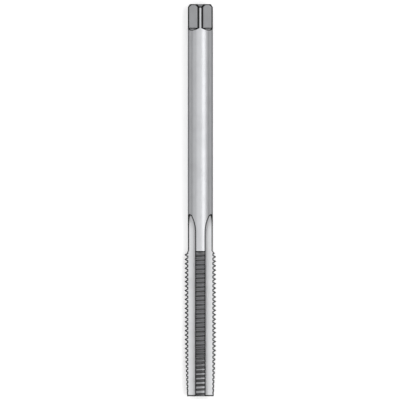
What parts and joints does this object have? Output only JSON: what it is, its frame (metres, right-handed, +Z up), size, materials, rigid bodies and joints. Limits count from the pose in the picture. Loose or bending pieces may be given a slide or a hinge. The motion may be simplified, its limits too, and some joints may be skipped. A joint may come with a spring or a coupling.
{
  "type": "thread tap",
  "caption": "Long-shank nut tap for a metric right-hand thread: fluted threaded end with a long tapered lead, plain shank and a square drive end.",
  "frame": {"origin": "Centre of the footprint, on the surface the tap lies on, under the middle of its length.", "axes": "+Y runs along the tap from the threaded tip to the drive square, +Z is up with one land on top, +X is to the right seen from above with the square end away."},
  "size_m": [0.0176, 0.22, 0.016],
  "materials": {
    "steel": "ground"
  },
  "bodies": {
    "root": {"tap": "steel"}
  },
  "joints": []
}
